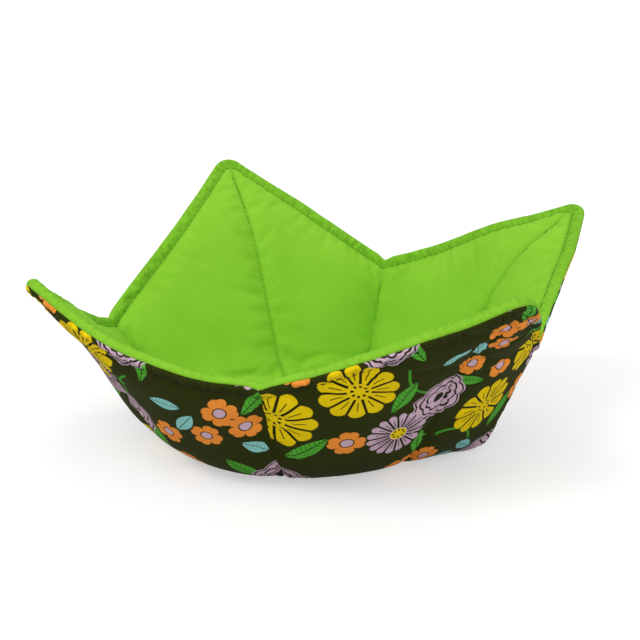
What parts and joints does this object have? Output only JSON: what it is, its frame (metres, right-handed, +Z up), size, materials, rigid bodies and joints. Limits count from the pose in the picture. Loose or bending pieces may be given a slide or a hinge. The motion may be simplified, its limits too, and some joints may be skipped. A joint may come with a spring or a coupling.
{
  "type": "microwave bowl cozy",
  "caption": "Padded cotton bowl cozy: a square printed cloth, darted on its sides, that stands as an open bowl with flared pointed corner flaps and a plain lining.",
  "frame": {"origin": "middle of the flat underside, at the centre of the cloth square, on the surface that the cozy stands on", "axes": "+Z up, out of the bowl; the dart seams lie on the X and Y axes and the corner flaps point along the diagonals; -Y faces the picture's viewer"},
  "size_m": [0.2062, 0.1961, 0.1005],
  "materials": {
    "printed_cotton": "matt plain-woven cotton with a large floral print on a dark olive ground",
    "lining_cotton": "matt plain-woven cotton, plain lime green"
  },
  "bodies": {
    "root": {"outer_panel": "printed_cotton", "lining_panel": "lining_cotton"}
  },
  "joints": []
}
